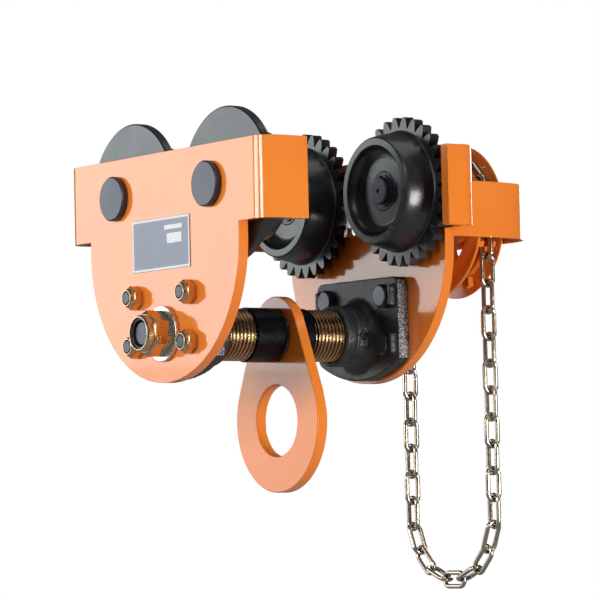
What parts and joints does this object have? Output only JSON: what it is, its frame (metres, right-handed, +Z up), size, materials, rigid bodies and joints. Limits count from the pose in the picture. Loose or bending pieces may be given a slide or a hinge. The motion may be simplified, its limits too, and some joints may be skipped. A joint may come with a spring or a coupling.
{
  "type": "geared beam trolley",
  "caption": "Hand-geared trolley that runs on the lower flange of an I-beam, with a turnbuckle spindle for its width and a swinging load eye.",
  "frame": {"origin": "middle of the running surface where the wheel treads rest on the beam flange", "axes": "+X along the beam, +Y across it towards the hand wheel, +Z up"},
  "size_m": [0.324, 0.3897, 0.4344],
  "materials": {
    "orange_paint": "gloss enamel",
    "black_casting": "rough cast, black",
    "black_steel": "black oxide",
    "yellow_zinc": "yellow passivated zinc",
    "nylon": "nylon",
    "bright_zinc": "bright zinc",
    "dark_steel": "dark satin",
    "plain_steel": "machined",
    "wheel_iron": "dark semi-gloss",
    "label": "printed",
    "black_sleeve": "black",
    "bronze": "machined",
    "chain_zinc": "zinc plated"
  },
  "bodies": {
    "drive_side": {"drive_plate": "orange_paint", "drive_trunnion": "black_casting", "drive_set_screw": "black_steel", "drive_trunnion_bolts": "dark_steel", "drive_trunnion_nuts": "yellow_zinc", "drive_nylon_inserts": "nylon", "drive_lock_washer": "bright_zinc", "drive_lock_nut": "yellow_zinc", "drive_axles": "dark_steel", "drive_axle_spacers": "plain_steel", "drive_inner_races": "plain_steel", "drive_axle_washers": "dark_steel", "drive_axle_circlips": "dark_steel", "shaft_housing": "orange_paint", "housing_screws": "black_steel", "shaft_bushes": "bronze", "wheel_bracket": "orange_paint", "bracket_bush": "bronze", "hand_chain": "chain_zinc"},
    "idler_side": {"idler_plate": "orange_paint", "idler_trunnion": "black_casting", "idler_set_screw": "black_steel", "idler_trunnion_bolts": "dark_steel", "idler_trunnion_nuts": "yellow_zinc", "idler_nylon_inserts": "nylon", "idler_lock_washer": "bright_zinc", "idler_lock_nut": "yellow_zinc", "idler_axles": "dark_steel", "idler_axle_spacers": "plain_steel", "idler_inner_races": "plain_steel", "idler_axle_washers": "dark_steel", "idler_axle_circlips": "dark_steel", "rating_plate": "label"},
    "idler_wheel_front": {"idler_wheel_front": "wheel_iron", "idler_bearing_front": "plain_steel", "idler_bearing_clip_front": "black_steel"},
    "idler_wheel_rear": {"idler_wheel_rear": "wheel_iron", "idler_bearing_rear": "plain_steel", "idler_bearing_clip_rear": "black_steel"},
    "drive_wheel_front": {"drive_wheel_front": "wheel_iron", "drive_bearing_front": "plain_steel", "drive_bearing_clip_front": "black_steel"},
    "drive_wheel_rear": {"drive_wheel_rear": "wheel_iron", "drive_bearing_rear": "plain_steel", "drive_bearing_clip_rear": "black_steel"},
    "hand_drive": {"handwheel": "orange_paint", "pinion_shaft": "plain_steel", "shaft_key": "plain_steel", "clamp_sleeve": "plain_steel", "shaft_washer": "bright_zinc", "shaft_nut": "yellow_zinc"},
    "sleeves": {"spacer_sleeves": "black_sleeve"},
    "spindle": {"spindle": "yellow_zinc"},
    "load_eye": {"eye_plate": "orange_paint"}
  },
  "joints": [
    {"name": "handwheel_turn", "type": "hinge", "parent": "drive_side", "child": "hand_drive", "pos_m": [0, 0, 0.03431], "axis": [0, 1, 0], "continuous": true, "deforming": ["hand_chain"]},
    {"name": "idler_wheel_front_roll", "type": "hinge", "parent": "idler_side", "child": "idler_wheel_front", "pos_m": [0.0772, -0.08, 0.052], "axis": [0, 1, 0], "continuous": true},
    {"name": "idler_wheel_rear_roll", "type": "hinge", "parent": "idler_side", "child": "idler_wheel_rear", "pos_m": [-0.0772, -0.08, 0.052], "axis": [0, 1, 0], "continuous": true},
    {"name": "drive_wheel_front_roll", "type": "hinge", "parent": "drive_side", "child": "drive_wheel_front", "pos_m": [0.0772, 0.08, 0.052], "axis": [0, 1, 0], "continuous": true},
    {"name": "drive_wheel_rear_roll", "type": "hinge", "parent": "drive_side", "child": "drive_wheel_rear", "pos_m": [-0.0772, 0.08, 0.052], "axis": [0, 1, 0], "continuous": true},
    {"name": "sleeves_shift", "type": "slide", "parent": "drive_side", "child": "sleeves", "axis": [0, 1, 0], "range_m": [0, 0.02]},
    {"name": "spindle_turn", "type": "hinge", "parent": "sleeves", "child": "spindle", "pos_m": [0, 0, -0.076], "axis": [0, 1, 0], "range_deg": [0, 1800]},
    {"name": "eye_swing", "type": "hinge", "parent": "sleeves", "child": "load_eye", "pos_m": [0, 0.0075, -0.076], "axis": [0, 1, 0], "range_deg": [-60, 60]},
    {"name": "idler_side_shift", "type": "slide", "parent": "drive_side", "child": "idler_side", "axis": [0, 1, 0], "range_m": [0, 0.04]}
  ],
  "couplings": [
    {"joint": "drive_wheel_front_roll", "follows": "handwheel_turn", "ratio": -0.24138},
    {"joint": "drive_wheel_rear_roll", "follows": "handwheel_turn", "ratio": -0.24138},
    {"joint": "sleeves_shift", "follows": "idler_side_shift", "ratio": 0.5},
    {"joint": "spindle_turn", "follows": "idler_side_shift", "rad_per_m": 785.4}
  ]
}
